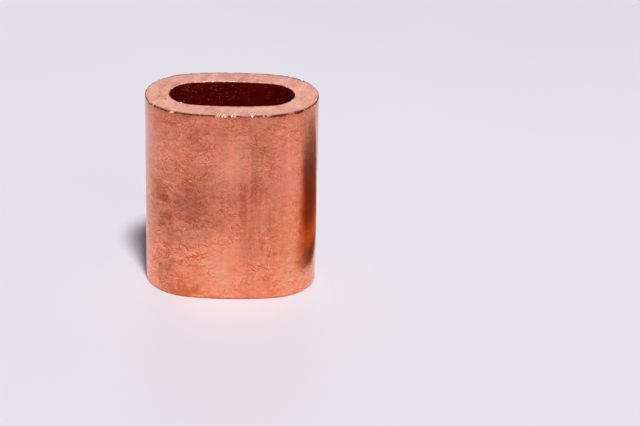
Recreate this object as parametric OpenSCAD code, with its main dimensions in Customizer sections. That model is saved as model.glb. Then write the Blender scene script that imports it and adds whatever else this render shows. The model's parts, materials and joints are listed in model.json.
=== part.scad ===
// Oval copper ferrule for a wire rope's loop: one length of oval tube, cut square at both ends.
// The rope passes through the hole twice, one strand in each round end.
// +Z runs along the tube, X across its width, and the origin is the middle of the lower end.

/* [Hole] */
// Width of the hole, across both strands of rope
hole_width = 13.2; // [10:0.1:26]
// Height of the hole at its middle
hole_height = 6.6; // [4:0.1:9]
// How far the long sides bow out beyond the height of the round ends
side_bow = 0.3; // [0.1:0.05:0.8]

/* [Tube] */
// Thickness of the wall, the same all round
wall = 2.5; // [1:0.1:5]
// Length of the tube between its cut ends
tube_length = 21.2; // [8:0.1:60]
// Width of the bevel that tumbling leaves on every rim
rim_bevel = 0.1; // [0.05:0.05:0.4]

/* [Hidden] */

$fa = 2;
$fs = 0.2;

// The oval has four arcs: a round end at each side and a shallow arc along each long side.
// Neighbouring arcs are tangent, and the hole and the outside share the arcs' centres.
end_radius = hole_height / 2 - side_bow;
end_centre = hole_width / 2 - end_radius;
side_centre = (end_centre ^ 2 - side_bow ^ 2) / (2 * side_bow);
side_radius = side_centre + hole_height / 2;

// Arcs meet on the line through their two centres, followed here to a point outside the tube.
joint_angle = atan2(side_centre, end_centre);
joint_reach = hole_width + 2 * wall;
joint_x = end_centre + joint_reach * cos(joint_angle);
joint_y = joint_reach * sin(joint_angle);
clear_x = end_centre + joint_reach;

// Each long side runs this hair past its joints, so that the arcs join as one wall.
arc_overlap = 0.001;

end_sector = [
    [end_centre, 0],
    [joint_x, joint_y],
    [clear_x, joint_y],
    [clear_x, -joint_y],
    [joint_x, -joint_y]
];
side_sector = [
    [-end_centre - arc_overlap, 0],
    [end_centre + arc_overlap, 0],
    [joint_x + arc_overlap, joint_y],
    [-joint_x - arc_overlap, joint_y]
];

// The wall cut lengthwise, its inner face at x = 0, with a bevel on each corner.
module wall_section() {
    polygon([
        [rim_bevel, 0],
        [wall - rim_bevel, 0],
        [wall, rim_bevel],
        [wall, tube_length - rim_bevel],
        [wall - rim_bevel, tube_length],
        [rim_bevel, tube_length],
        [0, tube_length - rim_bevel],
        [0, rim_bevel]
    ]);
}

// The wall turned about one arc's centre, and kept only inside that arc's sector.
module wall_arc(centre, inner_radius, sector) {
    intersection() {
        translate(centre)
            rotate_extrude()
                translate([inner_radius, 0])
                    wall_section();
        linear_extrude(tube_length)
            polygon(sector);
    }
}

module ferrule() {
    color("#cd7d64")
        for (half_turn = [0, 180])
            rotate(half_turn) {
                wall_arc([end_centre, 0], end_radius, end_sector);
                wall_arc([0, -side_centre], side_radius, side_sector);
            }
}

ferrule();
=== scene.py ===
import json
import math

import bpy
from mathutils import Matrix, Vector


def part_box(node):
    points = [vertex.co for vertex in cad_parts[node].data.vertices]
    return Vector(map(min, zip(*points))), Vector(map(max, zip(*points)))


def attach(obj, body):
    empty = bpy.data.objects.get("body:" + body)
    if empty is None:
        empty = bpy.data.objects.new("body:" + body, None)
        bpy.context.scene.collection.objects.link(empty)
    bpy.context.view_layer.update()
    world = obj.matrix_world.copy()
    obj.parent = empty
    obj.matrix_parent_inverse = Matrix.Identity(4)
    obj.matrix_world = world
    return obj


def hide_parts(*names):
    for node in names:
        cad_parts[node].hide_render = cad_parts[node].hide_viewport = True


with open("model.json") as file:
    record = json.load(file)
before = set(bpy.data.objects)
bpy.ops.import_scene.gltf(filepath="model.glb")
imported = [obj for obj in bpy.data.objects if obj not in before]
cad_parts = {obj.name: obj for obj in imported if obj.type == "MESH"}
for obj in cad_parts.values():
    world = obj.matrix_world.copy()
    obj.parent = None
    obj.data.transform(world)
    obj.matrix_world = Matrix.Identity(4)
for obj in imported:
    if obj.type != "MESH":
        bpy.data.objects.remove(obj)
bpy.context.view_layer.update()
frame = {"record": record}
scene = bpy.context.scene
mm = 0.001

# the oval's sizes come from the frame's box and from the seat of one rope strand
lowCorner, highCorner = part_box("ferrule")
seat = next(m for m in frame["record"]["mounts"] if m["name"] == "rope_seat_right")
endCentre = seat["pos_m"][0]
endRadius = seat["dims"]["r_mm"] * mm
wall = round(highCorner[0] - endCentre - endRadius, 4)
sideBow = round(highCorner[1] - wall - endRadius, 4)
length = highCorner[2] - lowCorner[2]
ovalSizes = {"End centre": endCentre, "End radius": endRadius, "Side bow": sideBow,
             "Wall": wall, "Length": length}
print("oval: wall", wall, "bow", sideBow, "length", length)


def tint(red, green, blue):
    # a colour as a picture editor shows it, turned to the shader's linear values
    def linear(level):
        level /= 255
        return level / 12.92 if level <= 0.04045 else ((level + 0.055) / 1.055) ** 2.4
    return (linear(red), linear(green), linear(blue), 1)


def addNode(tree, kind, values=None, **settings):
    node = tree.nodes.new(kind)
    for name, value in settings.items():
        setattr(node, name, value)
    for key, value in (values or {}).items():
        if isinstance(value, bpy.types.NodeSocket):
            tree.links.new(value, node.inputs[key])
        else:
            node.inputs[key].default_value = value
    return node


def calc(tree, operation, *values):
    return addNode(tree, "ShaderNodeMath", dict(enumerate(values)), operation=operation).outputs[0]


def squared(tree, value):
    return calc(tree, "MULTIPLY", value, value)


def vectorCalc(tree, operation, *values):
    node = addNode(tree, "ShaderNodeVectorMath", operation=operation)
    for socket, value in zip(node.inputs, values):
        if isinstance(value, bpy.types.NodeSocket):
            tree.links.new(value, socket)
        else:
            socket.default_value = value
    return node.outputs[0]


def scaled(tree, vector, factor):
    values = {"Vector": vector, "Scale": factor}
    return addNode(tree, "ShaderNodeVectorMath", values, operation="SCALE").outputs[0]


def dotProduct(tree, first, second):
    values = {0: first, 1: second}
    return addNode(tree, "ShaderNodeVectorMath", values, operation="DOT_PRODUCT").outputs["Value"]


def remap(tree, value, low, high, toLow=0.0, toHigh=1.0):
    values = {"Value": value, "From Min": low, "From Max": high, "To Min": toLow, "To Max": toHigh}
    return addNode(tree, "ShaderNodeMapRange", values, interpolation_type="SMOOTHSTEP").outputs[0]


def noise(tree, place, scale, detail, seed, roughness=0.5):
    values = {"Vector": place, "W": seed, "Scale": scale, "Detail": detail, "Roughness": roughness}
    return addNode(tree, "ShaderNodeTexNoise", values, noise_dimensions="4D").outputs[0]


# a noise pattern that shows over part of its range only
def masked(tree, place, mask):
    return remap(tree, noise(tree, place, *mask["noise"]), *mask["span"], *mask.get("gives", (0.0, 1.0)))


def combine(tree, x=0.0, y=0.0, z=0.0):
    return addNode(tree, "ShaderNodeCombineXYZ", {"X": x, "Y": y, "Z": z}).outputs[0]


def split(tree, vector):
    return addNode(tree, "ShaderNodeSeparateXYZ", {"Vector": vector}).outputs


# the place squeezed along the tube, so that a pattern there is drawn out into streaks
def drawnOut(tree, place, pull):
    x, y, z = split(tree, place)
    return combine(tree, x, y, calc(tree, "MULTIPLY", z, pull))


def blendColour(tree, share, first, second, way="MIX"):
    values = {0: share, 6: first, 7: second}
    return addNode(tree, "ShaderNodeMix", values, data_type="RGBA", blend_type=way).outputs[2]


def newMaterial(name):
    material = bpy.data.materials.new(name)
    material.use_nodes = True
    tree = material.node_tree
    tree.nodes.clear()
    shader = addNode(tree, "ShaderNodeBsdfPrincipled")
    addNode(tree, "ShaderNodeOutputMaterial", {"Surface": shader.outputs[0]})
    place = addNode(tree, "ShaderNodeTexCoord").outputs["Object"]
    return material, tree, shader, place


def connect(tree, shader, **sockets):
    names = {"colour": "Base Color", "roughness": "Roughness", "normal": "Normal"}
    for key, value in sockets.items():
        tree.links.new(value, shader.inputs[names[key]])


def bump(tree, height, depth):
    return addNode(tree, "ShaderNodeBump", {"Distance": depth, "Height": height}).outputs[0]


# a sum of patterns round one half, each with its own weight
def addUp(tree, *parts):
    total = 0.5 - sum(weight for value, weight in parts) / 2
    for value, weight in parts:
        total = calc(tree, "MULTIPLY_ADD", value, weight, total)
    return total


def ramp(tree, value, stops):
    node = addNode(tree, "ShaderNodeValToRGB", {"Fac": value})
    elements = node.color_ramp.elements
    while len(elements) < len(stops):
        elements.new(0.5)
    for element, (position, colour) in zip(elements, stops):
        element.position = position
        element.color = colour
    return node.outputs[0]


# the same place pushed about a little, so that lines drawn there waver
def uneven(tree, place, reach, scale=1100):
    values = {"Vector": place, "Scale": scale, "Detail": 2.0}
    push = addNode(tree, "ShaderNodeTexNoise", values).outputs["Color"]
    push = vectorCalc(tree, "SUBTRACT", push, (0.5, 0.5, 0.5))
    return vectorCalc(tree, "ADD", place, scaled(tree, push, reach))


# one short curved scratch in each cell of a random pattern, with a painted gleam along its lower side, and a
# painted shade there instead when the scratch is light
def hairs(tree, place, kind):
    normal = addNode(tree, "ShaderNodeNewGeometry").outputs["Normal"]
    moved = vectorCalc(tree, "ADD", place, (kind["seed"] * mm, kind["seed"] * 0.7 * mm, 0))
    values = {"Vector": moved, "Scale": 1 / (kind["cell"] * mm)}
    cells = addNode(tree, "ShaderNodeTexVoronoi", values).outputs
    away = vectorCalc(tree, "SUBTRACT", moved, cells["Position"])
    lean = vectorCalc(tree, "SUBTRACT", cells["Color"], (0.5, 0.5, 0.5))
    along = vectorCalc(tree, "NORMALIZE", vectorCalc(tree, "CROSS_PRODUCT", normal, lean))
    across = vectorCalc(tree, "CROSS_PRODUCT", normal, along)
    u = dotProduct(tree, away, along)
    v = dotProduct(tree, away, across)
    red, green, blue = split(tree, cells["Color"])
    curl = calc(tree, "MULTIPLY", calc(tree, "SUBTRACT", red, 0.5), kind["curl"] / mm)
    v = calc(tree, "SUBTRACT", v, calc(tree, "MULTIPLY", curl, squared(tree, u)))
    v = calc(tree, "MULTIPLY", v, calc(tree, "SIGN", split(tree, across)["Z"]))  # so that v grows upwards
    # the width is from 0.6 to 1.4 of the given one, and its middle fifth is full
    width = calc(tree, "MULTIPLY_ADD", blue, kind["width"] * 0.8 * mm, kind["width"] * 0.6 * mm)
    sharp = calc(tree, "MULTIPLY", width, 0.2)
    line = remap(tree, calc(tree, "ABSOLUTE", v), width, sharp, 0.0, kind["tone"])
    lower = calc(tree, "ABSOLUTE", calc(tree, "MULTIPLY_ADD", width, 1.3, v))
    both = calc(tree, "ADD", line, remap(tree, lower, width, sharp, 0.0, kind["gleam"]))
    ends = remap(tree, calc(tree, "ABSOLUTE", u), kind["cell"] * 0.6 * mm, kind["cell"] * 0.15 * mm)
    strength = calc(tree, "POWER", remap(tree, green, 1 - kind["kept"], 1.0), 1.5)
    return calc(tree, "MULTIPLY", calc(tree, "MULTIPLY", both, ends), strength)


# a soft patch round one point, with its border broken up by a cloud
def patch(tree, place, cloud, spot):
    ragged = spot.get("ragged", 1.2)
    away = vectorCalc(tree, "SUBTRACT", place, [v * mm for v in spot["at"]])
    away = vectorCalc(tree, "DIVIDE", away, [v * mm for v in spot["reach"]])
    reach = addNode(tree, "ShaderNodeVectorMath", {0: away}, operation="LENGTH").outputs["Value"]
    reach = calc(tree, "MULTIPLY_ADD", cloud, ragged, reach)
    return remap(tree, reach, ragged / 2 + 1.0, ragged / 2 + 0.1, 0.0, spot["share"])


wallLook = {
    "tones": [(0.0, tint(146, 60, 40)), (0.3, tint(196, 108, 81)), (0.5, tint(228, 139, 108)),
              (0.72, tint(254, 158, 122)), (1.0, tint(255, 176, 140))],
    "roughness": (0.44, 0.56),
    "endPolish": 0.35,  # share of that roughness round the ends
    "polishEnds": (5 * mm, 7.5 * mm),
    "haze": 0.05,
    "hazeRoughness": 0.4,
    "bumpDepth": 0.008 * mm,
    # patterns: scale, detail, seed and roughness
    "cloud": (230, 3.0, 1),
    "mottle": (800, 4.0, 2, 0.72),
    "grain": (3600, 3.0, 3, 0.7),
    "dust": (9000, 1.0, 5),
    "streak": (1700, 3.0, 4),
    "streakPull": 0.05,  # a smaller one gives longer streaks
    "lumps": (1300, 3.0, 21, 0.6),
    "lumpStep": 0.12 * mm,
    "relief": 1.3,
    # masks: a pattern, the part of its range that shows, and what it gives there
    "dots": {"noise": (2300, 2.0, 27), "span": (0.66, 0.76), "gives": (0.0, -0.16)},
    "busy": {"noise": (330, 3.0, 43), "span": (0.36, 0.64), "gives": (0.55, 1.2)},
    "specks": {"noise": (4600, 1.0, 25), "span": (0.78, 0.84), "gives": (0.0, 0.4)},
    "warmth": {"noise": (420, 3.0, 31), "span": (0.42, 0.66)},
    "warm": tint(255, 250, 238),
    # thin lines from the drawing die, most of them on the right and low down
    "dieLines": (3400, 2.0, 23),
    "linePull": 0.11,
    "lineDark": (0.54, 0.70),
    "lineLight": (0.46, 0.32),
    "lineTone": 0.10,
    "lineSlope": 0.4,
    "lineSpan": (-7 * mm, 1 * mm),
    "lineLevel": (0.15, 1.0),
    "lowTop": 10 * mm,  # painted light: the wall is painted lighter from here down
    "lowPaintedLight": 0.19,
    # painted shade of uneven depth under the sawn edge, heavier towards the ends than on the flats
    "rimLine": tint(118, 44, 26),
    "rimReach": {"noise": (1500, 3.0, 13, 0.6), "span": (0.32, 0.68), "gives": (0.06 * mm, 0.34 * mm)},
    "rimEnds": (1.5 * mm, 5.5 * mm),
    "rimShare": (0.6, 0.95),
    "shadeReach": (0.8 * mm, 0.2 * mm),  # a fainter painted shade below the line
    "shadeEnds": (1 * mm, 5 * mm),
    "shadeShare": 0.24,
    # painted contact shadow along the foot
    "footShare": 0.35,
    "markTint": (0.8, 2.35, 3.1),  # a dark scratch is redder and a light one paler than the wall
    "markFloor": (0.6, 0.54, 0.48),
    "wobble": 0.5 * mm,
    "hairs": [  # millimetres; a tone above 0 is lighter than the wall
        {"cell": 1.9, "width": 0.07, "curl": 0.3, "kept": 0.5, "seed": 71, "tone": -0.10, "gleam": 0.08},
        {"cell": 1.2, "width": 0.085, "curl": 0.6, "kept": 0.6, "seed": 3, "tone": -0.17, "gleam": 0.12},
        {"cell": 0.8, "width": 0.085, "curl": 1.2, "kept": 0.7, "seed": 11, "tone": -0.20, "gleam": 0.14},
        {"cell": 0.6, "width": 0.085, "curl": 1.4, "kept": 0.6, "seed": 61, "tone": -0.18, "gleam": 0.12},
        {"cell": 0.42, "width": 0.07, "curl": 1.2, "kept": 0.4, "seed": 83, "tone": -0.16, "gleam": 0.10},
        {"cell": 0.8, "width": 0.06, "curl": 1.6, "kept": 0.6, "seed": 47, "tone": 0.22, "gleam": -0.08},
    ],
    "calm": [  # places with few scratches
        {"at": (0.0, -5.8, 16.4), "reach": (2.0, 3, 4.0), "share": 0.45},
        {"at": (-0.6, -5.8, 3.6), "reach": (2.4, 3, 4.6), "share": 0.4},
        {"at": (6.0, -4.8, 15.0), "reach": (2.0, 3, 5.0), "share": 0.5},
        {"at": (4.2, -5.4, 11.0), "reach": (4.5, 3, 8.0), "share": 0.42},
        {"at": (-5.0, -5.2, 8.0), "reach": (4.2, 3, 9.0), "share": -0.58},
        {"at": (0.0, 6.0, 11.0), "reach": (9.0, 4, 14.0), "share": 0.2},
        {"at": (2.2, 5.7, 12.5), "reach": (2.6, 3, 7.0), "share": 0.45},
        {"at": (-5.2, 5.2, 5.5), "reach": (2.6, 3, 5.0), "share": 0.4},
        {"at": (8.6, 2.2, 15.5), "reach": (1.6, 2.6, 4.0), "share": 0.4},
    ],
    "patches": [  # smudges are below 0; above 0 the wall is painted lighter, on the front partly as painted highlight
        {"at": (-4.2, -5.4, 10.6), "reach": (3.4, 3, 3.2), "share": -0.17},
        {"at": (-7.5, -3.9, 11.6), "reach": (1.7, 2, 2.0), "share": -0.22},
        {"at": (-7.0, -4.4, 8.6), "reach": (1.4, 2, 4.0), "share": -0.13},
        {"at": (-7.0, -4.3, 2.6), "reach": (2.4, 2.4, 3.4), "share": -0.22},
        {"at": (-1.9, -5.7, 8.8), "reach": (1.4, 3, 1.4), "share": -0.05},
        {"at": (2.3, -5.7, 12.2), "reach": (1.9, 3, 2.6), "share": -0.14},
        {"at": (1.4, -5.8, 9.9), "reach": (0.6, 3, 3.0), "share": -0.12},
        {"at": (2.9, -5.6, 18.2), "reach": (1.4, 3, 2.0), "share": -0.06},
        {"at": (4.0, -5.5, 15.6), "reach": (1.4, 3, 3.0), "share": -0.05},
        {"at": (-3.4, -5.6, 18.2), "reach": (1.9, 3, 2.8), "share": -0.12},
        {"at": (-6.5, -4.7, 20.2), "reach": (2.2, 3, 0.9), "share": -0.08},
        {"at": (-6.8, -4.5, 17.0), "reach": (2.0, 2.4, 3.4), "share": 0.08},
        {"at": (-6.0, -4.9, 7.0), "reach": (0.9, 2, 1.2), "share": -0.10},
        {"at": (-6.4, -4.7, 9.5), "reach": (1.2, 2, 1.6), "share": -0.07},
        # painted highlights on the front: low in the middle, up the middle and a tall band at the right
        {"at": (-0.8, -5.8, 14.8), "reach": (1.6, 3, 1.2), "share": 0.10},
        {"at": (-1.4, -5.8, 5.2), "reach": (2.8, 3, 4.4), "share": 0.22},
        {"at": (6.2, -4.8, 2.4), "reach": (2.6, 3, 2.6), "share": 0.12},
        {"at": (6.3, -4.8, 11.0), "reach": (2.0, 2.5, 18.0), "share": 0.20},
        {"at": (0.2, -5.8, 3.6), "reach": (1.6, 3, 6.5), "share": 0.16},
        {"at": (-1.4, -5.8, 1.9), "reach": (2.2, 3, 3.2), "share": 0.2},
        {"at": (-2.4, -5.7, 17.6), "reach": (1.2, 3, 1.8), "share": 0.10},
        {"at": (0.4, -5.8, 16.4), "reach": (2.2, 3, 4.0), "share": 0.17},
        {"at": (-3.9, -5.5, 6.6), "reach": (1.2, 3, 2.2), "share": 0.10},
        {"at": (-4.0, -5.5, 4.0), "reach": (3.4, 3, 3.0), "share": 0.07},
        {"at": (1.2, -5.8, 18.9), "reach": (1.4, 3, 1.6), "share": 0.08},
        {"at": (0.0, -5.8, 8.8), "reach": (0.8, 3, 1.2), "share": 0.12},
        {"at": (1.3, -5.8, 12.6), "reach": (0.8, 3, 1.6), "share": -0.12},
        {"at": (-2.4, -5.7, 18.7), "reach": (1.0, 3, 1.2), "share": 0.09},
        {"at": (4.9, -5.3, 18.6), "reach": (1.0, 3, 1.4), "share": 0.12},
        {"at": (3.7, -5.5, 17.4), "reach": (0.8, 3, 1.2), "share": -0.07},
        {"at": (7.0, -4.3, 3.6), "reach": (1.2, 2, 1.8), "share": 0.12},
        {"at": (7.8, -3.5, 1.3), "reach": (0.9, 1.4, 0.8), "share": 0.12},
        {"at": (3.9, -5.5, 1.8), "reach": (0.8, 3, 1.6), "share": -0.07},
        {"at": (-6.4, -4.8, 0.5), "reach": (1.4, 2, 0.9), "share": -0.10},
        {"at": (-8.7, -2.0, 0.4), "reach": (0.9, 1.4, 0.9), "share": -0.12},
        {"at": (-2.6, 5.7, 13.6), "reach": (3.6, 3, 3.4), "share": -0.17},
        {"at": (-6.4, 4.7, 8.4), "reach": (1.6, 2.4, 4.2), "share": -0.13},
        {"at": (2.4, 5.7, 11.4), "reach": (2.0, 3, 6.0), "share": 0.16},
        {"at": (4.6, 5.4, 4.2), "reach": (2.4, 3, 3.2), "share": -0.16},
        {"at": (0.4, 5.8, 4.4), "reach": (1.5, 3, 5.5), "share": 0.14},
        {"at": (6.4, 4.7, 15.6), "reach": (1.8, 2.4, 4.2), "share": 0.13},
        {"at": (8.9, 1.2, 11.6), "reach": (1.2, 2.2, 3.4), "share": -0.14},
        {"at": (-8.8, 1.6, 15.0), "reach": (1.2, 2.2, 4.0), "share": -0.12},
        {"at": (-4.6, 5.4, 2.0), "reach": (2.0, 3, 1.8), "share": 0.14},
    ],
    # colour patches, partly stains and partly painted light
    "stainsAndPaintedLight": [
        # a gold stain low at the left
        {"at": (-4.8, -5.35, 0.75), "reach": (2.8, 3, 1.25), "share": 0.85, "ragged": 3.0,
         "colour": tint(214, 110, 56)},
        # painted reflection: the left round end is painted paler pink
        {"at": (-9.1, -1.8, 12.6), "reach": (1.2, 3.2, 16), "share": 0.42, "colour": tint(230, 174, 164)},
        {"at": (-8.6, -2.8, 17.4), "reach": (1.4, 2.6, 5.0), "share": 0.46, "colour": tint(230, 174, 164)},
        {"at": (-7.9, -3.5, 15.3), "reach": (1.8, 2.4, 4.4), "share": 0.22, "colour": tint(232, 172, 152)},
        # a painted highlight up the middle
        {"at": (0.0, -5.8, 15.6), "reach": (2.9, 3, 3.4), "share": 0.25, "colour": tint(232, 172, 152)},
        # patches of greyer and warmer tone
        {"at": (-4.7, -5.4, 10.5), "reach": (2.6, 3, 2.6), "share": 0.25, "colour": tint(196, 134, 112)},
        {"at": (-4.2, -5.5, 6.9), "reach": (2.4, 3, 1.6), "share": 0.3, "colour": tint(215, 145, 120)},
        {"at": (2.3, -5.7, 10.4), "reach": (3.6, 3, 4.6), "share": 0.25, "colour": tint(226, 126, 84)},
        # painted light: brighter orange at the right and along the bottom
        {"at": (6.3, -4.8, 6.5), "reach": (2.2, 2.6, 9), "share": 0.25, "colour": tint(252, 146, 102)},
        {"at": (1.0, -5.7, 0.3), "reach": (10, 4, 2), "share": 0.25, "colour": tint(252, 146, 102)},
    ],
}


def wallCopper():
    look = wallLook
    material, tree, shader, place = newMaterial("wallCopper")
    sides = split(tree, place)
    x, z = sides["X"], sides["Z"]
    toEnd = calc(tree, "ABSOLUTE", x)
    fromTop = calc(tree, "SUBTRACT", length, z)
    cloud = noise(tree, place, *look["cloud"])
    mottle = noise(tree, place, *look["mottle"])
    grain = noise(tree, place, *look["grain"])
    dust = noise(tree, place, *look["dust"])
    streak = noise(tree, drawnOut(tree, place, look["streakPull"]), *look["streak"])
    tone = addUp(tree, (cloud, 0.30), (mottle, 0.46), (grain, 0.24), (dust, 0.26), (streak, 0.30))
    for spot in look["patches"]:
        tone = calc(tree, "ADD", tone, patch(tree, place, mottle, spot))
    # painted light and shade on small lumps, as if lit from above: lighter on top and darker below
    raised = vectorCalc(tree, "ADD", place, (0, 0, look["lumpStep"]))
    lumps = noise(tree, place, *look["lumps"])
    marks = calc(tree, "SUBTRACT", lumps, noise(tree, raised, *look["lumps"]))
    marks = calc(tree, "MULTIPLY", marks, look["relief"])
    bent = uneven(tree, place, look["wobble"])
    for kind in look["hairs"]:
        marks = calc(tree, "ADD", marks, hairs(tree, bent, kind))
    marks = calc(tree, "ADD", marks, masked(tree, place, look["dots"]))
    busy = masked(tree, place, look["busy"])
    for spot in look["calm"]:
        busy = calc(tree, "SUBTRACT", busy, patch(tree, place, mottle, spot))
    marks = calc(tree, "MULTIPLY", marks, busy)
    die = noise(tree, drawnOut(tree, place, look["linePull"]), *look["dieLines"])
    darkLines = remap(tree, die, *look["lineDark"], 0.0, look["lineTone"])
    lines = calc(tree, "SUBTRACT", remap(tree, die, *look["lineLight"], 0.0, look["lineTone"]), darkLines)
    toRight = calc(tree, "SUBTRACT", x, calc(tree, "MULTIPLY", z, look["lineSlope"]))
    lines = calc(tree, "MULTIPLY", lines, remap(tree, toRight, *look["lineSpan"], *look["lineLevel"]))
    tone = calc(tree, "ADD", tone, lines)
    # painted light: lighter low down on the wall
    tone = calc(tree, "ADD", tone, remap(tree, z, look["lowTop"], 0.0, 0.0, look["lowPaintedLight"]))
    tone = calc(tree, "ADD", tone, masked(tree, place, look["specks"]))
    colour = ramp(tree, tone, look["tones"])
    gain = vectorCalc(tree, "ADD", scaled(tree, look["markTint"], marks), (1, 1, 1))
    gain = vectorCalc(tree, "MAXIMUM", gain, look["markFloor"])
    colour = vectorCalc(tree, "MULTIPLY", colour, gain)
    colour = blendColour(tree, masked(tree, place, look["warmth"]), colour, look["warm"], "MULTIPLY")
    for spot in look["stainsAndPaintedLight"]:
        colour = blendColour(tree, patch(tree, place, mottle, spot), colour, spot["colour"])
    # painted shade under the sawn edge: a dark line of uneven depth with a fainter shade below it
    reach = masked(tree, place, look["rimReach"])
    nearRim = remap(tree, fromTop, reach, calc(tree, "MULTIPLY", reach, 0.75))
    nearRim = calc(tree, "MULTIPLY", nearRim, remap(tree, toEnd, *look["rimEnds"], *look["rimShare"]))
    # painted contact shadow along the foot
    footShadow = remap(tree, z, reach, calc(tree, "MULTIPLY", reach, 0.3), 0.0, look["footShare"])
    shadeShare = remap(tree, toEnd, *look["shadeEnds"], 0.0, look["shadeShare"])
    shade = remap(tree, fromTop, *look["shadeReach"], 0.0, shadeShare)
    paintedShade = calc(tree, "MAXIMUM", calc(tree, "ADD", nearRim, footShadow), shade)
    colour = blendColour(tree, paintedShade, colour, look["rimLine"])
    rough = remap(tree, addUp(tree, (mottle, 0.8), (grain, 0.5)), 0.25, 0.75, *look["roughness"])
    rough = calc(tree, "MULTIPLY", rough, remap(tree, toEnd, *look["polishEnds"], 1.0, look["endPolish"]))
    height = calc(tree, "ADD", addUp(tree, (streak, 0.5), (mottle, 0.5), (grain, 0.4)), marks)
    connect(tree, shader, colour=colour, roughness=rough, normal=bump(tree, height, look["bumpDepth"]))
    shader.inputs["Metallic"].default_value = 1
    shader.inputs["Sheen Weight"].default_value = look["haze"]
    shader.inputs["Sheen Roughness"].default_value = look["hazeRoughness"]
    return material


cutLook = {
    "tones": [(0.0, tint(180, 101, 81)), (0.3, tint(213, 139, 117)), (0.5, tint(232, 165, 145)),
              (0.7, tint(244, 185, 167)), (1.0, tint(255, 220, 206))],
    "roughness": (0.36, 0.5),
    "bumpDepth": 0.03 * mm,
    # patterns and masks are given as for the wall
    "cloud": (380, 2.0, 17),
    "mottle": (900, 4.0, 5, 0.65),
    "grain": (5000, 2.0, 6, 0.7),
    "saw": (3000, 3.0, 7),
    "sawTurn": math.radians(67),
    "sawPull": 0.08,
    "frontToBack": (0.06, -0.04),  # the half towards +Y is a little darker
    "warmth": {"noise": (520, 3.0, 33), "span": (0.42, 0.66)},
    "warm": tint(255, 249, 239),
    "pits": {"noise": (1900, 1.0, 8), "span": (0.76, 0.8), "gives": (0.0, 0.7)},
    "pit": tint(92, 42, 32),
    "nicks": [
        {"at": (-6.9, -1.56, 21.2), "reach": (0.2, 0.26, 0.3), "share": 0.9, "ragged": 0.6},
        {"at": (-7.57, 0.29, 21.2), "reach": (0.14, 0.2, 0.3), "share": 0.6, "ragged": 0.6},
        {"at": (-7.54, -0.9, 21.2), "reach": (0.14, 0.2, 0.3), "share": 0.6, "ragged": 0.6},
    ],
    # the outer corner is painted dark as painted shade and made rougher, most of it towards the ends, with
    # gaps here and there
    "edge": tint(124, 30, 6),
    "edgeShare": 0.97,
    "edgeCorner": 0.05 * mm,
    "edgeReach": (0.3 * mm, 0.52 * mm),  # on the flats and towards the ends
    "edgeEnds": (2.5 * mm, 6 * mm),
    "edgeLeft": 0.3,  # share of that at the very ends
    "veryEnds": (6.2 * mm, 8.8 * mm),
    "edgeGaps": {"noise": (900, 2.0, 35), "span": (0.36, 0.5), "gives": (0.55, 1.0)},
    "edgeRoughness": 0.65,
    "wobble": 0.4 * mm,
    "hairs": [
        {"cell": 1.1, "width": 0.06, "curl": 0.4, "kept": 0.5, "seed": 7, "tone": -0.22, "gleam": 0.16},
        {"cell": 0.6, "width": 0.05, "curl": 1.2, "kept": 0.6, "seed": 37, "tone": -0.20, "gleam": 0.16},
    ],
}


def cutCopper():
    look = cutLook
    material, tree, shader, place = newMaterial("cutCopper")
    values = {"Vector": place, "Rotation": (0, 0, -look["sawTurn"])}
    alongSaw, acrossSaw, up = split(tree, addNode(tree, "ShaderNodeMapping", values).outputs[0])
    sawn = combine(tree, calc(tree, "MULTIPLY", alongSaw, look["sawPull"]), acrossSaw, up)
    cloud = noise(tree, place, *look["cloud"])
    mottle = noise(tree, place, *look["mottle"])
    grain = noise(tree, place, *look["grain"])
    saw = noise(tree, sawn, *look["saw"])
    tone = addUp(tree, (cloud, 0.6), (mottle, 1.0), (saw, 0.5), (grain, 0.9))
    bent = uneven(tree, place, look["wobble"])
    for kind in look["hairs"]:
        tone = calc(tree, "ADD", tone, hairs(tree, bent, kind))
    x, y = split(tree, place)[:2]
    tone = calc(tree, "ADD", tone, remap(tree, y, -6 * mm, 6 * mm, *look["frontToBack"]))
    colour = ramp(tree, tone, look["tones"])
    pits = masked(tree, place, look["pits"])
    for spot in look["nicks"]:
        pits = calc(tree, "MAXIMUM", pits, patch(tree, place, grain, spot))
    colour = blendColour(tree, pits, colour, look["pit"])
    colour = blendColour(tree, masked(tree, place, look["warmth"]), colour, look["warm"], "MULTIPLY")
    rough = remap(tree, tone, 0.25, 0.75, *look["roughness"])
    depth = addNode(tree, "ShaderNodeAttribute", attribute_name="depth").outputs["Fac"]
    toEnd = calc(tree, "ABSOLUTE", x)
    # painted shade on the outer corner of the cut end
    reach = remap(tree, toEnd, *look["edgeEnds"], *look["edgeReach"])
    reach = calc(tree, "MULTIPLY", reach, remap(tree, toEnd, *look["veryEnds"], 1.0, look["edgeLeft"]))
    corner = remap(tree, calc(tree, "SUBTRACT", wall, depth), reach, look["edgeCorner"])
    corner = calc(tree, "MULTIPLY", corner, masked(tree, place, look["edgeGaps"]))
    colour = blendColour(tree, calc(tree, "MULTIPLY", corner, look["edgeShare"]), colour, look["edge"])
    rough = calc(tree, "MAXIMUM", rough, calc(tree, "MULTIPLY", corner, look["edgeRoughness"]))
    height = addUp(tree, (saw, 0.7), (grain, 0.5))
    connect(tree, shader, colour=colour, roughness=rough, normal=bump(tree, height, look["bumpDepth"]))
    shader.inputs["Metallic"].default_value = 1
    return material


boreLook = {
    # painted shade: the bore is painted dark red, darker than the copper outside
    "tones": [(0.2, tint(96, 8, 4)), (0.6, tint(122, 16, 8)), (0.95, tint(150, 40, 26))],
    "roughness": (0.5, 0.7),
    "metal": 0.4,
    "gloss": 0.15,
    "bumpDepth": 0.05 * mm,
    "mottle": (900, 3.0, 10),
    "streak": (1300, 3.0, 9),
    "streakPull": 0.06,
    # painted glints: pale specks in the bore
    "speck": tint(255, 150, 128),
    "specks": {"noise": (6800, 1.0, 14), "span": (0.645, 0.72)},
    "rightToLeft": (0.4, 1.0),  # more specks on the left
}


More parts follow.
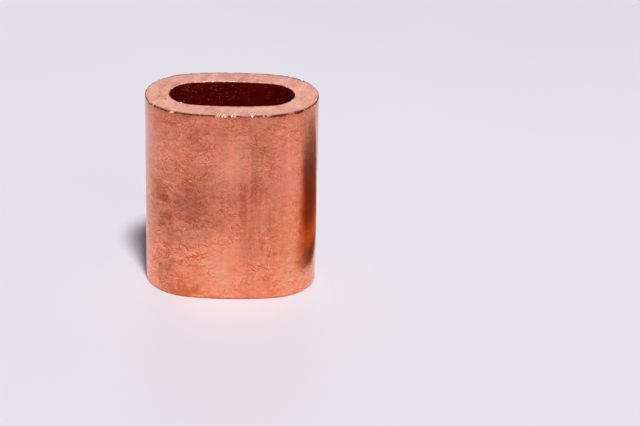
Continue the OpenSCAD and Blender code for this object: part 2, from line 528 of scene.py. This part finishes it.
def boreCopper():
    look = boreLook
    material, tree, shader, place = newMaterial("boreCopper")
    streak = noise(tree, drawnOut(tree, place, look["streakPull"]), *look["streak"])
    mottle = noise(tree, place, *look["mottle"])
    tone = addUp(tree, (streak, 0.4), (mottle, 0.6))
    # painted glints as pale specks
    specks = masked(tree, place, look["specks"])
    specks = calc(tree, "MULTIPLY", specks, remap(tree, mottle, 0.40, 0.60, 0.2, 1.0))
    toLeft = remap(tree, split(tree, place)["X"], 3 * mm, -3 * mm, *look["rightToLeft"])
    specks = calc(tree, "MULTIPLY", specks, toLeft)
    # painted shade in the bore's dark tones
    colour = blendColour(tree, specks, ramp(tree, tone, look["tones"]), look["speck"])
    rough = remap(tree, tone, 0.25, 0.75, *look["roughness"])
    connect(tree, shader, colour=colour, roughness=rough, normal=bump(tree, tone, look["bumpDepth"]))
    shader.inputs["Metallic"].default_value = look["metal"]
    shader.inputs["Specular IOR Level"].default_value = look["gloss"]
    return material


burrLook = {
    "tones": [(0.3, tint(226, 150, 124)), (0.7, tint(255, 214, 190))],
    "cloud": (2600, 2.0, 15),
    "roughness": (0.24, 0.36),
    "backRoughness": 0.38,
}


def burrCopper():
    look = burrLook
    material, tree, shader, place = newMaterial("burrCopper")
    cloud = noise(tree, place, *look["cloud"])
    rough = remap(tree, cloud, 0.3, 0.7, *look["roughness"])
    toBack = remap(tree, split(tree, place)["Y"], -2 * mm, 2 * mm, 0.0, look["backRoughness"])
    rough = calc(tree, "MAXIMUM", rough, toBack)
    connect(tree, shader, colour=ramp(tree, cloud, look["tones"]), roughness=rough)
    shader.inputs["Metallic"].default_value = 1
    return material


def join(tree, parts):
    joined = tree.nodes.new("GeometryNodeJoinGeometry")
    for part in parts:
        tree.links.new(part, joined.inputs[0])
    return joined.outputs[0]


# one closed loop from arcs and lines that meet end to end
def joinLoop(tree, parts):
    edges = addNode(tree, "GeometryNodeCurveToMesh", {"Curve": join(tree, parts)}).outputs[0]
    values = {"Geometry": edges, "Distance": 0.001 * mm}
    merged = addNode(tree, "GeometryNodeMergeByDistance", values).outputs[0]
    return addNode(tree, "GeometryNodeMeshToCurve", {"Mesh": merged}).outputs[0]


def resample(tree, curve, points):
    values = {"Curve": curve, "Count": points}
    return addNode(tree, "GeometryNodeResampleCurve", values, mode="COUNT").outputs[0]


def arcCurve(tree, radius, start, sweep, centre, points):
    values = {"Resolution": points, "Radius": radius, "Start Angle": start, "Sweep Angle": sweep}
    arc = addNode(tree, "GeometryNodeCurveArc", values, mode="RADIUS").outputs["Curve"]
    return addNode(tree, "GeometryNodeTransform", {"Geometry": arc, "Translation": centre}).outputs[0]


def lineCurve(tree, start, end, points):
    values = {"Start": start, "End": end}
    line = addNode(tree, "GeometryNodeCurvePrimitiveLine", values, mode="POINTS").outputs[0]
    return resample(tree, line, points)


def setMaterial(tree, geometry, material, chosen=True):
    values = {"Geometry": geometry, "Selection": chosen, "Material": material}
    return addNode(tree, "GeometryNodeSetMaterial", values).outputs[0]


def newTree(name, inputs):
    tree = bpy.data.node_groups.new(name, "GeometryNodeTree")
    tree.interface.new_socket("Geometry", in_out="OUTPUT", socket_type="NodeSocketGeometry")
    for label, kind in inputs.items():
        tree.interface.new_socket(label, in_out="INPUT", socket_type="NodeSocket" + kind)
    return tree, tree.nodes.new("NodeGroupInput").outputs


# the tree makes the piece once, and it is kept as a plain mesh
def settle(name, tree, sizes):
    piece = bpy.data.objects.new(name, bpy.data.meshes.new(name))
    scene.collection.objects.link(piece)
    modifier = piece.modifiers.new("shape", "NODES")
    modifier.node_group = tree
    for item in tree.interface.items_tree:
        if item.in_out == "INPUT":
            modifier[item.identifier] = sizes[item.name]
    bpy.context.view_layer.update()
    evaluated = piece.evaluated_get(bpy.context.evaluated_depsgraph_get())
    mesh = bpy.data.meshes.new_from_object(evaluated)
    for slot in reversed(range(len(mesh.materials))):
        if mesh.materials[slot] is None:  # a primitive brings an empty slot along
            mesh.materials.pop(index=slot)
    piece.modifiers.clear()
    piece.data = mesh
    mesh.name = name
    print(name, len(mesh.vertices), "points", len(mesh.polygons), "faces")
    return piece


arcPoints = 128  # on each arc of the oval, before the points are spaced evenly
cornerPoints = 5  # on each rounded corner of the wall


# the hole's outline: two round ends and two shallow sides, each tangent to the next
def ovalOutline(tree, sizes, points, outwards=0.0):
    centre, bow = sizes["End centre"], sizes["Side bow"]
    radius = calc(tree, "ADD", sizes["End radius"], outwards)
    difference = calc(tree, "SUBTRACT", squared(tree, centre), squared(tree, bow))
    sideCentre = calc(tree, "DIVIDE", difference, calc(tree, "MULTIPLY", bow, 2))
    sideRadius = calc(tree, "ADD", calc(tree, "ADD", sideCentre, bow), radius)
    joint = calc(tree, "ARCTAN2", sideCentre, centre)
    endSweep = calc(tree, "MULTIPLY", joint, 2)
    sideSweep = calc(tree, "SUBTRACT", math.pi, endSweep)
    minusJoint = calc(tree, "MULTIPLY", joint, -1)
    left = combine(tree, calc(tree, "MULTIPLY", centre, -1))
    below = combine(tree, y=calc(tree, "MULTIPLY", sideCentre, -1))
    arcs = [
        (radius, minusJoint, endSweep, combine(tree, centre)),
        (sideRadius, joint, sideSweep, below),
        (radius, calc(tree, "ADD", math.pi, minusJoint), endSweep, left),
        (sideRadius, calc(tree, "ADD", math.pi, joint), sideSweep, combine(tree, y=sideCentre)),
    ]
    loop = joinLoop(tree, [arcCurve(tree, *arc, arcPoints) for arc in arcs])
    even = resample(tree, loop, points)
    return addNode(tree, "GeometryNodeSetCurveNormal", {"Curve": even}, mode="Z_UP").outputs[0]


# the wall cut lengthwise: x is the depth from the hole, y the height, with rounded corners
def wallSection(tree, sizes, wallRows, rimRows):
    thick, tall, corner = sizes["Wall"], sizes["Length"], sizes["Edge round"]
    farX = calc(tree, "SUBTRACT", thick, corner)
    farY = calc(tree, "SUBTRACT", tall, corner)
    quarter = math.pi / 2
    parts = [
        lineCurve(tree, combine(tree, 0, farY), combine(tree, 0, corner), wallRows // 2),
        arcCurve(tree, corner, 2 * quarter, quarter, combine(tree, corner, corner), cornerPoints),
        lineCurve(tree, combine(tree, corner, 0), combine(tree, farX, 0), rimRows // 2),
        arcCurve(tree, corner, 3 * quarter, quarter, combine(tree, farX, corner), cornerPoints),
        lineCurve(tree, combine(tree, thick, corner), combine(tree, thick, farY), wallRows),
        arcCurve(tree, corner, 0, quarter, combine(tree, farX, farY), cornerPoints),
        lineCurve(tree, combine(tree, farX, tall), combine(tree, corner, tall), rimRows),
        arcCurve(tree, corner, quarter, quarter, combine(tree, corner, farY), cornerPoints),
    ]
    section = joinLoop(tree, parts)
    place = addNode(tree, "GeometryNodeInputPosition").outputs[0]
    for name, value in zip(("depth", "height"), split(tree, place)):
        values = {"Geometry": section, "Name": name, "Value": value}
        section = addNode(tree, "GeometryNodeStoreNamedAttribute", values,
                          data_type="FLOAT", domain="POINT").outputs[0]
    # a sweep along a level path turns the section's y downwards
    return addNode(tree, "GeometryNodeTransform", {"Geometry": section, "Scale": (1, -1, 1)}).outputs[0]


def readAttribute(tree, name):
    node = addNode(tree, "GeometryNodeInputNamedAttribute", {"Name": name}, data_type="FLOAT")
    return node.outputs["Attribute"]


tube = {
    "aroundPoints": 440,
    "wallRows": 96,
    "rimRows": 36,
    "edgeRound": 0.06 * mm,
    "dentDepth": 0.05 * mm,
    "drawDepth": 0.012 * mm,
    "sawDepth": 0.02 * mm,
    "edgeWear": 0.07 * mm,
    "burrHeight": 0.07 * mm,
    "outerReach": 0.35 * mm,  # of the wear, from the outer edge
    "innerReach": 0.25 * mm,  # of the ragged lip, from the hole's edge
    "sawReach": 0.06 * mm,
    "boreLimit": 0.02 * mm,  # the bore's copper ends here
    "cutLimit": 0.05 * mm,  # and the cut's copper here
    # patterns: scale and detail
    "dents": (230, 2.0),
    "dieLines": (1100, 2.0),
    "saw": (2200, 2.0),
    "nicks": (1900, 3.0),
    "lip": (3800, 2.0),
    "linePull": 0.04,
    "sawPull": (0.9, 0.1),
    "seed": 3.0,
}


def tubeTree():
    tree, sizes = newTree("ferruleTube", {
        **dict.fromkeys(ovalSizes, "Float"), "Edge round": "Float", "Dent depth": "Float",
        "Draw depth": "Float", "Saw depth": "Float", "Edge wear": "Float", "Burr height": "Float",
        "Seed": "Float", "Wall copper": "Material", "Cut copper": "Material", "Bore copper": "Material",
    })
    path = ovalOutline(tree, sizes, tube["aroundPoints"])
    section = wallSection(tree, sizes, tube["wallRows"], tube["rimRows"])
    swept = addNode(tree, "GeometryNodeCurveToMesh", {"Curve": path, "Profile Curve": section}).outputs[0]
    swept = addNode(tree, "GeometryNodeFlipFaces", {"Mesh": swept}).outputs[0]
    place = addNode(tree, "GeometryNodeInputPosition").outputs[0]
    normal = addNode(tree, "GeometryNodeInputNormal").outputs[0]
    depth = readAttribute(tree, "depth")
    height = readAttribute(tree, "height")
    seed = sizes["Seed"]
    fromEnd = calc(tree, "MINIMUM", height, calc(tree, "SUBTRACT", sizes["Length"], height))
    fromOutside = calc(tree, "SUBTRACT", sizes["Wall"], depth)

    def nearCorner(across, reach):
        away = calc(tree, "SQRT", calc(tree, "ADD", squared(tree, across), squared(tree, fromEnd)))
        return remap(tree, away, reach, reach * 0.3)

    def centred(value):
        return calc(tree, "SUBTRACT", value, 0.5)

    onEnd = remap(tree, fromEnd, tube["sawReach"], 0.0)
    onWall = calc(tree, "SUBTRACT", 1.0, onEnd)
    # shallow dents and die lines on the wall, saw lines on the ends
    dents = centred(noise(tree, place, *tube["dents"], seed))
    push = calc(tree, "MULTIPLY", dents, sizes["Dent depth"])
    lines = centred(noise(tree, drawnOut(tree, place, tube["linePull"]), *tube["dieLines"], seed))
    push = calc(tree, "ADD", push, calc(tree, "MULTIPLY", lines, sizes["Draw depth"]))
    push = calc(tree, "MULTIPLY", push, onWall)
    sawn = vectorCalc(tree, "MULTIPLY", place, (*tube["sawPull"], 1))
    sawDepth = calc(tree, "MULTIPLY", sizes["Saw depth"], onEnd)
    saw = calc(tree, "MULTIPLY", noise(tree, sawn, *tube["saw"], seed), sawDepth)
    push = calc(tree, "SUBTRACT", push, saw)
    # the outer edges are worn and nicked, the hole's edges ragged
    nicks = remap(tree, noise(tree, place, *tube["nicks"], seed), 0.45, 0.75)
    nicks = calc(tree, "MULTIPLY", nicks, nearCorner(fromOutside, tube["outerReach"]))
    push = calc(tree, "SUBTRACT", push, calc(tree, "MULTIPLY", nicks, sizes["Edge wear"]))
    lip = centred(noise(tree, place, *tube["lip"], seed))
    lip = calc(tree, "MULTIPLY", lip, nearCorner(depth, tube["innerReach"]))
    push = calc(tree, "ADD", push, calc(tree, "MULTIPLY", lip, sizes["Burr height"]))
    values = {"Geometry": swept, "Offset": scaled(tree, normal, push)}
    shaped = addNode(tree, "GeometryNodeSetPosition", values).outputs[0]
    smooth = addNode(tree, "GeometryNodeSetShadeSmooth", {"Geometry": shaped}).outputs[0]
    made = addNode(tree, "GeometryNodeRealizeInstances", {"Geometry": smooth}).outputs[0]
    made = setMaterial(tree, made, sizes["Wall copper"])
    inside = calc(tree, "LESS_THAN", depth, tube["boreLimit"])
    made = setMaterial(tree, made, sizes["Bore copper"], inside)
    atEnd = calc(tree, "LESS_THAN", fromEnd, tube["cutLimit"])
    made = setMaterial(tree, made, sizes["Cut copper"], atEnd)
    addNode(tree, "NodeGroupOutput", {"Geometry": made})
    return tree


ferrule = settle("ferruleTube", tubeTree(), {
    **ovalSizes, "Edge round": tube["edgeRound"], "Dent depth": tube["dentDepth"],
    "Draw depth": tube["drawDepth"], "Saw depth": tube["sawDepth"], "Edge wear": tube["edgeWear"],
    "Burr height": tube["burrHeight"], "Seed": tube["seed"], "Wall copper": wallCopper(),
    "Cut copper": cutCopper(), "Bore copper": boreCopper(),
})
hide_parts("ferrule")
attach(ferrule, "root")

burr = {
    "pathPoints": 400,
    "innerSpots": 420,
    "innerKept": 0.03,
    "innerDrop": 0.025 * mm,
    "backKept": 0.9,
    "outerSpots": 900,
    "outerKept": 0.03,
    "outerDrop": 0.07 * mm,
    "inset": 0.03 * mm,
    # where the front edge is torn: place across, reach and how much larger the flakes are
    "torn": [(-6.0, 0.15, 1.9), (-1.3, 0.12, 1.9), (-0.65, 0.25, 1.9), (0.3, 0.15, 1.9), (2.2, 0.1, 1.25)],
    "tornKept": 0.9,
    "tilt": 0.75,  # the flakes stand bent to the front
    "lean": 0.45,
    "small": 0.02 * mm,
    "smallShape": (1.0, 1.0, 0.5),
    "large": 0.11 * mm,
    "largeShape": (1.4, 1.0, 0.6),
    "seed": 7,
}


def randomVector(tree, low, high, seed):
    values = {0: low, 1: high, "Seed": seed}
    return addNode(tree, "FunctionNodeRandomValue", values, data_type="FLOAT_VECTOR").outputs[0]


# small torn flakes that the saw left standing along both edges of the upper end
def burrTree():
    tree, sizes = newTree("edgeBurr", {
        **dict.fromkeys(ovalSizes, "Float"), "Small": "Float", "Large": "Float", "Seed": "Int",
        "Burr copper": "Material",
    })
    flake = addNode(tree, "GeometryNodeMeshIcoSphere", {"Radius": 1.0, "Subdivisions": 1}).outputs[0]
    small = scaled(tree, burr["smallShape"], sizes["Small"])
    large = scaled(tree, burr["largeShape"], sizes["Large"])
    tilt, lean = burr["tilt"], burr["lean"]
    leanLow, leanHigh = (tilt - lean, -lean, -lean), (tilt + lean, lean, lean)
    edges = (("inner", 0.0, burr["inset"]), ("outer", sizes["Wall"], -burr["inset"]))
    groups = []
    for order, (edge, outwards, inset) in enumerate(edges):
        path = ovalOutline(tree, sizes, burr["pathPoints"], calc(tree, "ADD", outwards, inset))
        level = combine(tree, z=calc(tree, "SUBTRACT", sizes["Length"], burr[edge + "Drop"]))
        raised = addNode(tree, "GeometryNodeTransform", {"Geometry": path, "Translation": level}).outputs[0]
        values = {"Curve": raised, "Count": burr[edge + "Spots"]}
        spots = addNode(tree, "GeometryNodeCurveToPoints", values, mode="COUNT").outputs["Points"]
        x, y = split(tree, addNode(tree, "GeometryNodeInputPosition").outputs[0])[:2]
        kept, growth = burr[edge + "Kept"], 1.0
        if edge == "inner":  # most of the inner flakes stand along the back of the hole
            kept = remap(tree, y, 0.0, 2 * mm, kept, burr["backKept"])
        else:  # and most of the outer ones where the front edge is torn
            front = calc(tree, "LESS_THAN", y, 0.0)
            for across, reach, larger in burr["torn"]:
                away = calc(tree, "ABSOLUTE", calc(tree, "SUBTRACT", x, across * mm))
                torn = calc(tree, "MULTIPLY", calc(tree, "LESS_THAN", away, reach * mm), front)
                kept = calc(tree, "MAXIMUM", kept, calc(tree, "MULTIPLY", torn, burr["tornKept"]))
                growth = calc(tree, "MAXIMUM", growth, calc(tree, "MULTIPLY", torn, larger))
        seed = calc(tree, "ADD", sizes["Seed"], order * 10)
        chance = addNode(tree, "FunctionNodeRandomValue", {"Seed": seed}, data_type="FLOAT").outputs[1]
        size = randomVector(tree, small, large, calc(tree, "ADD", seed, 1))
        bent = randomVector(tree, leanLow, leanHigh, calc(tree, "ADD", seed, 2))
        turn = addNode(tree, "FunctionNodeEulerToRotation", {"Euler": bent}).outputs[0]
        values = {"Points": spots, "Selection": calc(tree, "LESS_THAN", chance, kept), "Instance": flake,
                  "Rotation": turn, "Scale": scaled(tree, size, growth)}
        groups.append(addNode(tree, "GeometryNodeInstanceOnPoints", values).outputs[0])
    made = addNode(tree, "GeometryNodeRealizeInstances", {"Geometry": join(tree, groups)}).outputs[0]
    addNode(tree, "NodeGroupOutput", {"Geometry": setMaterial(tree, made, sizes["Burr copper"])})
    return tree


edgeBurr = settle("edgeBurr", burrTree(), {
    **ovalSizes, "Small": burr["small"], "Large": burr["large"], "Seed": burr["seed"],
    "Burr copper": burrCopper(),
})
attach(edgeBurr, "root")


table = {
    "radius": 0.6,
    "sides": 96,
    "colour": tint(235, 236, 242),
    "speck": tint(230, 230, 237),
    "cloud": (14, 3.0, 12),
    "roughness": 0.42,
    "gloss": 0.3,
}


def tableTop():
    material, tree, shader, place = newMaterial("paleTable")
    share = remap(tree, noise(tree, place, *table["cloud"]), 0.3, 0.7)
    connect(tree, shader, colour=blendColour(tree, share, table["colour"], table["speck"]))
    shader.inputs["Roughness"].default_value = table["roughness"]
    shader.inputs["Specular IOR Level"].default_value = table["gloss"]
    radius, sides = table["radius"], table["sides"]
    turns = [i * math.tau / sides for i in range(sides)]
    ring = [(radius * math.cos(turn), radius * math.sin(turn), 0) for turn in turns]
    mesh = bpy.data.meshes.new("tableTop")
    mesh.from_pydata(ring, [], [list(range(sides))])
    mesh.materials.append(material)
    top = bpy.data.objects.new("tableTop", mesh)
    scene.collection.objects.link(top)


tableTop()

studio = {
    "key": {"turn": 13.3, "rise": 66.5, "distance": 1.6, "size": 0.23, "colour": (1, 0.99, 0.99)},
    "keyPower": 13.5,
    "tablePower": 10.8,  # from the same place, and not mirrored in the copper
    "roomLevel": 0.09,
    "roomTint": (1, 0.52, 0.73, 1),
    "mirrorFront": 0.6,  # the room as the copper mirrors it
    "mirrorBack": 1.0,
    "mirrorSpan": (-0.2, 0.8),
    "mirrorTint": (0.98, 0.98, 1, 1),
    "backdrop": tint(223, 219, 227),
}


def around(turn, rise, distance):
    # turn 0 is straight in front, towards -Y, and grows to the right
    turn, rise = math.radians(turn), math.radians(rise)
    level = math.cos(rise)
    return Vector((math.sin(turn) * level, -math.cos(turn) * level, math.sin(rise))) * distance


def areaLight(name, lamp, power):
    light = bpy.data.lights.new(name, "AREA")
    light.shape = "DISK"
    light.size = lamp["size"]
    light.energy = power
    light.color = lamp["colour"]
    holder = bpy.data.objects.new(name, light)
    holder.location = around(lamp["turn"], lamp["rise"], lamp["distance"])
    holder.rotation_euler = holder.location.to_track_quat("Z", "Y").to_euler()
    scene.collection.objects.link(holder)
    return holder


def background(tree, colour, strength=1.0):
    return addNode(tree, "ShaderNodeBackground", {"Color": colour, "Strength": strength}).outputs[0]


def room():
    world = bpy.data.worlds.new("studioRoom")
    scene.world = world
    world.use_nodes = True
    tree = world.node_tree
    tree.nodes.clear()
    ways = addNode(tree, "ShaderNodeTexCoord").outputs["Generated"]
    toBack = split(tree, ways)["Y"]
    level = remap(tree, toBack, *studio["mirrorSpan"], studio["mirrorFront"], studio["mirrorBack"])
    light = background(tree, studio["roomTint"], studio["roomLevel"])
    mirrored = background(tree, studio["mirrorTint"], level)
    seen = background(tree, studio["backdrop"])
    ray = addNode(tree, "ShaderNodeLightPath").outputs
    # the table gets only part of that brightness back from the copper
    straight = remap(tree, ray["Diffuse Depth"], 0.0, 1.0, 1.0, 0.0)
    inMirror = calc(tree, "MULTIPLY", ray["Is Glossy Ray"], straight)
    mixed = addNode(tree, "ShaderNodeMixShader", {0: inMirror, 1: light, 2: mirrored}).outputs[0]
    mixed = addNode(tree, "ShaderNodeMixShader", {0: ray["Is Camera Ray"], 1: mixed, 2: seen}).outputs[0]
    addNode(tree, "ShaderNodeOutputWorld", {"Surface": mixed})


# painted reflection: a warm dark glowing card that lies out of sight on the table at the right and shows
# only in the copper
card = {  # lengths in millimetres
    "corners": [(11.4, -9), (38, -9), (56, 16), (44, 31), (27.5, 29), (11.4, 14.5)],
    "height": 0.3,
    "span": (11.4, 56),
    "slant": 0.35,
    "tones": [(0.0, (0.20, 0.09, 0.05, 1)), (0.066, (0.13, 0.042, 0.02, 1)), (0.117, (0.22, 0.07, 0.02, 1)),
              (0.172, (0.68, 0.225, 0.01, 1)), (0.227, (0.42, 0.12, 0.01, 1)), (0.303, (0.22, 0.04, 0.0, 1)),
              (0.395, (0.24, 0.046, 0.002, 1)), (0.523, (0.19, 0.036, 0.004, 1)),
              (0.636, (0.12, 0.075, 0.055, 1)), (0.731, (0.24, 0.175, 0.15, 1)),
              (0.81, (0.42, 0.34, 0.32, 1)), (0.888, (0.55, 0.48, 0.46, 1)), (1.0, (0.72, 0.68, 0.67, 1))],
    # the front edge is lighter, and its border is a wave with a small step at the left
    "edgeTint": (0.74, 0.48, 0.36, 1),
    "edgeSpan": (2.5, -7),
    "wave": 2.2,
    "waveTurn": 16.55,
    "waveStart": -4.2,
    "step": 0.6,
    "stepSpan": (0.16, 0.06),
    "fadeFront": (-8.5, -5.0),
    "fadeLeft": 1.6,
    "fadeRight": 5,
}


def paintedReflectionCard():
    material = bpy.data.materials.new("paintedReflectionCard")
    material.use_nodes = True
    tree = material.node_tree
    tree.nodes.clear()
    x, y = split(tree, addNode(tree, "ShaderNodeTexCoord").outputs["Object"])[:2]
    first, last = (v * mm for v in card["span"])
    slanted = calc(tree, "MULTIPLY_ADD", y, card["slant"], x)
    values = {"Value": slanted, "From Min": first, "From Max": last}
    along = addNode(tree, "ShaderNodeMapRange", values).outputs[0]
    wave = calc(tree, "COSINE", calc(tree, "MULTIPLY_ADD", along, card["waveTurn"], card["waveStart"]))
    wavy = calc(tree, "MULTIPLY_ADD", calc(tree, "ADD", wave, 1.0), card["wave"] / 2 * mm, y)
    wavy = calc(tree, "ADD", wavy, remap(tree, along, *card["stepSpan"], 0.0, card["step"] * mm))
    nearEdge = remap(tree, wavy, *(v * mm for v in card["edgeSpan"]))
    colour = blendColour(tree, nearEdge, ramp(tree, along, card["tones"]), card["edgeTint"])
    glow = addNode(tree, "ShaderNodeEmission", {"Color": colour}).outputs[0]
    clear = addNode(tree, "ShaderNodeBsdfTransparent").outputs[0]
    fade = remap(tree, y, *(v * mm for v in card["fadeFront"]))
    behind = addNode(tree, "ShaderNodeNewGeometry").outputs["Backfacing"]  # the table does not see the card
    fade = calc(tree, "MULTIPLY", fade, calc(tree, "SUBTRACT", 1.0, behind))
    fade = calc(tree, "MULTIPLY", fade, remap(tree, x, first, first + card["fadeLeft"] * mm))
    fade = calc(tree, "MULTIPLY", fade, remap(tree, x, last, last - card["fadeRight"] * mm))
    mixed = addNode(tree, "ShaderNodeMixShader", {0: fade, 1: clear, 2: glow}).outputs[0]
    addNode(tree, "ShaderNodeOutputMaterial", {"Surface": mixed})
    outline = [(x * mm, y * mm, card["height"] * mm) for x, y in card["corners"]]
    mesh = bpy.data.meshes.new("paintedReflectionCard")
    mesh.from_pydata(outline, [], [list(range(len(outline)))])
    mesh.materials.append(material)
    plate = bpy.data.objects.new("paintedReflectionCard", mesh)
    scene.collection.objects.link(plate)
    for ray in ("camera", "diffuse", "shadow", "transmission", "volume_scatter"):
        setattr(plate, "visible_" + ray, False)


room()
areaLight("keyLight", studio["key"], studio["keyPower"])
areaLight("tableLight", studio["key"], studio["tablePower"]).visible_glossy = False
paintedReflectionCard()
print("table and studio ready")

# the camera looks down a little on the upper end; its numbers are for a picture of 640 x 426
view = {
    "turn": 1.1,
    "rise": 27.09,
    "distance": 0.2866,
    "aim": (9.483 * mm, 0, 7.512 * mm),
    "roll": 1.296,
    "lens": 149.04,
    "sensor": 36,
    "clip": (0.01, 5),
}


def photoCamera():
    camera = bpy.data.cameras.new("photoCamera")
    camera.sensor_width = view["sensor"]
    camera.lens = view["lens"]
    camera.clip_start, camera.clip_end = view["clip"]
    holder = bpy.data.objects.new("photoCamera", camera)
    place = around(view["turn"], view["rise"], view["distance"])
    turn = (Vector(view["aim"]) - place).to_track_quat("-Z", "Y").to_matrix()
    roll = Matrix.Rotation(math.radians(view["roll"]), 3, "Z")
    holder.matrix_world = Matrix.Translation(place) @ (turn @ roll).to_4x4()
    scene.collection.objects.link(holder)
    scene.camera = holder


photoCamera()
scene.view_settings.view_transform = "Standard"
print("camera ready")
